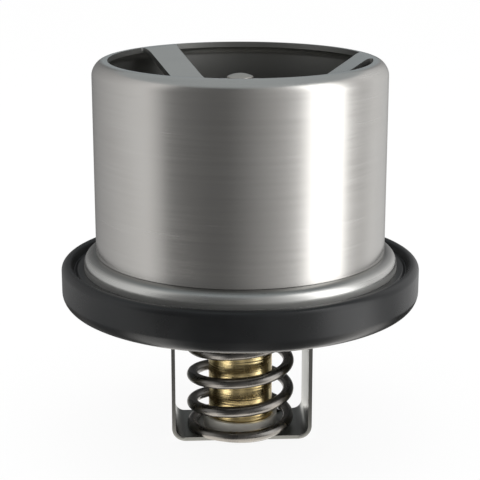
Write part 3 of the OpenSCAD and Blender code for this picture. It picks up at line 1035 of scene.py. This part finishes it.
def make_strap():
    start_piece()
    bpy.ops.mesh.primitive_grid_add(x_subdivisions=1, y_subdivisions=3, size=1, enter_editmode=True,
                                    location=(0, 0, STIRRUP_LOW.z))
    bpy.ops.object.mode_set(mode="OBJECT")
    bpy.ops.object.transform_apply(location=True, rotation=True, scale=True)
    bpy.ops.object.mode_set(mode="EDIT")
    mesh = bmesh.from_edit_mesh(bpy.context.object.data)
    # The outer rows of the new grid lie at half its size from the middle, the inner ones at a sixth.
    for vertex in mesh.verts:
        vertex.co.x = math.copysign(LEG_X, vertex.co.x)
        outer = abs(vertex.co.y) > 1 / 3
        vertex.co.y = math.copysign(STRAP_W / 2 if outer else TAB_W / 2, vertex.co.y)
    bmesh.update_edit_mesh(bpy.context.object.data)
    for side in (-1, 1):
        x = side * LEG_X
        pick("EDGE", lambda e: edge_between(e, x, STIRRUP_LOW.z, STRAP_W / 2))
        bpy.ops.mesh.extrude_region_move(
            TRANSFORM_OT_translate={"value": (0, 0, SHOULDER_Z - STIRRUP_LOW.z)})
        pick("EDGE", lambda e: edge_between(e, x, SHOULDER_Z, TAB_W / 2))
        bpy.ops.mesh.extrude_region_move(
            TRANSFORM_OT_translate={"value": (0, 0, STIRRUP_HIGH.z - SHOULDER_Z)})
    pick("EDGE", lambda e: any(edge_between(e, side * LEG_X, STIRRUP_LOW.z, STRAP_W / 2) for side in (-1, 1)))
    bpy.ops.mesh.bevel(offset=STRAP_BEND, offset_type="OFFSET", segments=STRAP_BEND_STEPS, profile=0.5,
                       affect="EDGES", clamp_overlap=False)
    bpy.ops.mesh.select_all(action="SELECT")
    bpy.ops.mesh.normals_make_consistent(inside=False)
    mesh = bmesh.from_edit_mesh(bpy.context.object.data)
    lowest = min(mesh.faces, key=lambda face: face.calc_center_median().z)
    if lowest.normal.z > 0:
        bpy.ops.mesh.flip_normals()
    bpy.ops.object.mode_set(mode="OBJECT")
    apply_modifier("SOLIDIFY", thickness=STRAP, offset=-1, use_even_offset=True)
    return bpy.context.object


def unite(piece, other):
    activate(piece)
    apply_modifier("BOOLEAN", object=other, operation="UNION", solver="EXACT")
    bpy.data.objects.remove(other)


strap = make_strap()
print("strap has", len(strap.data.polygons), "faces and", open_edges(strap), "open edges")

# %% Pad, collar and clinched heads
PAD_BORE = CUP_R + CUP_FIT
PAD_R = 8.5 * MM
PAD_BEND = STRAP + 0.1 * MM
PAD_COLLAR_H = 3.2 * MM


def drill(radius, low, high):
    """An upright round cutter on the axis, from one height to another."""
    start_piece()
    bpy.ops.mesh.primitive_cylinder_add(vertices=SIDES, radius=radius, depth=high - low,
                                        location=(0, 0, (low + high) / 2))
    bpy.ops.object.transform_apply(location=True, rotation=True, scale=True)
    return bpy.context.object


punch(strap, drill(PAD_BORE + STRAP, STIRRUP_LOW.z - MM, STIRRUP_LOW.z + 2 * MM))
pad = turned_sheet(
    [
        (PAD_BORE, STIRRUP_LOW.z + PAD_COLLAR_H),
        (PAD_BORE, STIRRUP_LOW.z),
        (PAD_R, STIRRUP_LOW.z),
    ],
    [PAD_BEND], STRAP)
unite(strap, pad)
for side in (-1, 1):
    head = block(
        (STRAP + 2 * (TAB_FIT + CLINCH_W), TAB_W + 2 * (TAB_FIT + CLINCH_W), CLINCH_H),
        (side * (LEG_X - STRAP / 2), 0, HUB_Z + CLINCH_H / 2))
    unite(strap, head)
activate(strap)
ease_edges(STRAP_EASE)
finish_piece(strap, "stirrup_strap", stirrup_steel, "valve", ["stirrup"])

# %% [markdown]
# ## Inside the element
# The boot, the wax and the washer keep the frame's own solids: nobody sees them, and their shape is right.
# They only take their finish.

# %% Inner pieces
for node, finish in (("rubber_boot", boot_rubber), ("wax_charge", wax), ("anti_chafe_washer", washer_white)):
    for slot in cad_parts[node].material_slots:
        slot.material = finish
    print(node, "takes", finish.name)

# %% [markdown]
# ## The studio
# Bright steel shows what stands round it, so the studio matters as much as the metal. The floor is white
# and keeps a soft shadow, and the world is white too. Cards stand round the piece that only reflections
# see: a tall round wall, a lid that hangs lower behind, a wide card under it all, a small bright one right
# below the piece, and a grey one high behind it, which lights the arms and the top of the rim. The wall
# and the wide card are painted in soft bands by their direction, like the black and white cloths that a
# photographer hangs round a shiny thing: dark in front, light to the left and white to the right.

# %% Floor
FLOOR_Z = STIRRUP_LOW.z
FLOOR_GAP = 0.02 * MM
FLOOR_SIZE = 3.0
FLOOR_WHITE = (0.92, 0.92, 0.92)
FLOOR_GLOW = 0.9


def stage_piece(name, material):
    """Names and paints the open object."""
    piece = bpy.context.object
    piece.name = name
    piece.data.materials.clear()
    piece.data.materials.append(material)
    return piece


def floor_finish():
    """White for the camera, but a share of the shadow that the piece throws on it stays."""
    material, shader = new_material("floor_white", FLOOR_WHITE)
    tree = material.node_tree
    shader.inputs["Base Color"].default_value = (*FLOOR_WHITE, 1)
    shader.inputs["Roughness"].default_value = 0.9
    shader.inputs["Specular IOR Level"].default_value = 0.0
    glow = add(tree, "Emission", strength=1.0)
    path = add(tree, "LightPath")
    mix = add(tree, "MixShader")
    tree.links.new(compute(tree, "MULTIPLY", path.outputs["Is Camera Ray"], FLOOR_GLOW), mix.inputs["Fac"])
    tree.links.new(shader.outputs["BSDF"], mix.inputs[1])
    tree.links.new(glow.outputs["Emission"], mix.inputs[2])
    tree.links.new(mix.outputs["Shader"], tree.nodes["Material Output"].inputs["Surface"])
    return material


start_piece()
bpy.ops.mesh.primitive_plane_add(size=FLOOR_SIZE, location=(0, 0, FLOOR_Z - FLOOR_GAP))
floor = stage_piece("floor", floor_finish())
floor.visible_glossy = False
print("floor at", round(FLOOR_Z / MM, 2), "mm")

# %% [markdown]
# A band is given by its direction in degrees to the right of the camera, from -180 to 180, and its
# brightness there. A colour ramp fades from each band to the next.

# %% Painting the cards
TENT_R = 105 * MM
TENT_TOP = 150 * MM
TENT_SIDES = 96
FULL = 3.0


def even(level):
    """The bands of a card that is equally bright all round."""
    return [(-180, level), (180, level)]


def banded(name, bands, tint=(1, 1, 1)):
    """A glowing finish whose brightness goes round the upright axis by a list of (direction, level)."""
    material = bpy.data.materials.new(name)
    material.use_nodes = True
    tree = material.node_tree
    tree.nodes.remove(tree.nodes["Principled BSDF"])
    place = add(tree, "TexCoord")
    split = add(tree, "SeparateXYZ")
    tree.links.new(place.outputs["Object"], split.inputs[0])
    away = compute(tree, "MULTIPLY", split.outputs["Y"], -1.0)
    direction = spread(tree, compute(tree, "ARCTAN2", split.outputs["X"], away), 0.0, 1.0, -math.pi, math.pi)
    ramp = add(tree, "ValToRGB")
    tree.links.new(direction, ramp.inputs["Fac"])
    stops = ramp.color_ramp.elements
    for i, (angle, level) in enumerate(bands):
        position = (angle + 180) / 360
        stop = stops[i] if i < len(stops) else stops.new(position)
        stop.position = position
        stop.color = (*(level / FULL * t for t in tint), 1)
    glow = add(tree, "Emission", strength=FULL)
    tree.links.new(ramp.outputs["Color"], glow.inputs["Color"])
    tree.links.new(glow.outputs["Emission"], tree.nodes["Material Output"].inputs["Surface"])
    return material


def card(name, bands, tint=(1, 1, 1)):
    """Makes the open object a card that only reflections see, turned to face the camera."""
    piece = stage_piece(name, banded(name, bands, tint))
    piece.rotation_euler.z = CAMERA_TURN
    piece.visible_camera = False
    piece.visible_diffuse = False
    piece.visible_shadow = False
    piece.visible_transmission = False
    return piece


def disc_card(name, radius, height, bands, tint):
    """A round card that lies flat at a height."""
    start_piece()
    bpy.ops.mesh.primitive_circle_add(
        vertices=TENT_SIDES, radius=radius, fill_type="NGON", location=(0, 0, height))
    bpy.ops.object.transform_apply(location=True, rotation=True, scale=True)
    return card(name, bands, tint)


print("cards stand at", TENT_R / MM, "mm")

# %% Wall, lid, under and back cards
WALL_BANDS = [
    (-180, 0.08), (-160, 0.12), (-132, 0.35), (-107, 0.5), (-85, 0.66), (-66, 0.8), (-58, 0.62), (-48, 0.24),
    (-36, 0.17), (-20, 0.13), (-8, 0.13), (2, 0.2), (16, 0.34), (28, 0.48), (38, 0.7), (44, 1.2), (50, 2.2),
    (73, 2.2), (80, 0.85), (93, 0.6), (110, 0.8), (138, 0.62), (160, 0.12), (180, 0.08),
]
UNDER_BANDS = [
    (-180, 1.0), (-155, 1.0), (-140, 0.12), (-115, 0.12), (-104, 0.35), (-88, 0.1), (-68, 0.2), (-54, 2.1),
    (-40, 2.1), (-28, 0.2), (-8, 0.25), (4, 0.6), (18, 0.3), (32, 0.3), (47, 0.6), (60, 1.8), (80, 3.0),
    (90, 0.7), (98, 0.08), (140, 0.1), (155, 1.0), (180, 1.0),
]
LID_BACK = 95 * MM
LID_LEVEL = 0.43
LID_TINT = (0.93, 1.0, 1.03)
UNDER_Z = FLOOR_Z - 5 * MM
UNDER_TINT = (1.0, 0.98, 0.95)
GLOW_R = 22 * MM
GLOW_LEVEL = 2.2
GLOW_TINT = (1.0, 0.97, 0.92)
BACK_W = 90 * MM
BACK_Z = (46 * MM, 92 * MM)
BACK_Y = 94 * MM
BACK_LEVEL = 0.36
BACK_TINT = (0.91, 1.0, 1.04)

start_piece()
bpy.ops.mesh.primitive_cylinder_add(
    vertices=TENT_SIDES, radius=TENT_R, depth=TENT_TOP - UNDER_Z, end_fill_type="NOTHING",
    location=(0, 0, (TENT_TOP + UNDER_Z) / 2))
bpy.ops.object.transform_apply(location=True, rotation=True, scale=True)
card("wall_card", WALL_BANDS)

lid = disc_card("lid_card", TENT_R, TENT_TOP, even(LID_LEVEL), LID_TINT)
for vertex in lid.data.vertices:
    share = (vertex.co.y / TENT_R + 1) / 2
    vertex.co.z = TENT_TOP + (LID_BACK - TENT_TOP) * share
disc_card("under_card", TENT_R, UNDER_Z, UNDER_BANDS, UNDER_TINT)
disc_card("glow_card", GLOW_R, UNDER_Z + MM, even(GLOW_LEVEL), GLOW_TINT)

start_piece()
bpy.ops.mesh.primitive_plane_add(
    size=1, location=(0, BACK_Y, sum(BACK_Z) / 2), rotation=(math.pi / 2, 0, 0))
bpy.context.object.scale = (BACK_W, BACK_Z[1] - BACK_Z[0], 1)
bpy.ops.object.transform_apply(location=True, rotation=True, scale=True)
card("back_card", even(BACK_LEVEL), BACK_TINT)
print("five cards, with", len(WALL_BANDS), "bands on the wall")

# %% [markdown]
# The white world lights the rubber and the floor evenly. One soft lamp high above adds a little more from
# over the piece, and the metals don't show it.

# %% Lamp and world
LAMP_SIZE = 0.5
LAMP_POWER = 1.0
LAMP_HEIGHT = 0.6

lamp_data = bpy.data.lights.new("top_lamp", "AREA")
lamp_data.size = LAMP_SIZE
lamp_data.energy = LAMP_POWER
lamp = bpy.data.objects.new("top_lamp", lamp_data)
bpy.context.scene.collection.objects.link(lamp)
lamp.location = (0, 0, LAMP_HEIGHT)
lamp.visible_camera = False
lamp.visible_glossy = False

world = bpy.data.worlds.new("studio")
bpy.context.scene.world = world
world.use_nodes = True
world.node_tree.nodes["Background"].inputs["Color"].default_value = (1, 1, 1, 1)
world.node_tree.nodes["Background"].inputs["Strength"].default_value = 1.0
bpy.context.scene.view_settings.view_transform = "Standard"
print("studio ready")

# %% [markdown]
# ## Finish
# The last line brings the scene up to date.

# %% Finish
bpy.context.view_layer.update()
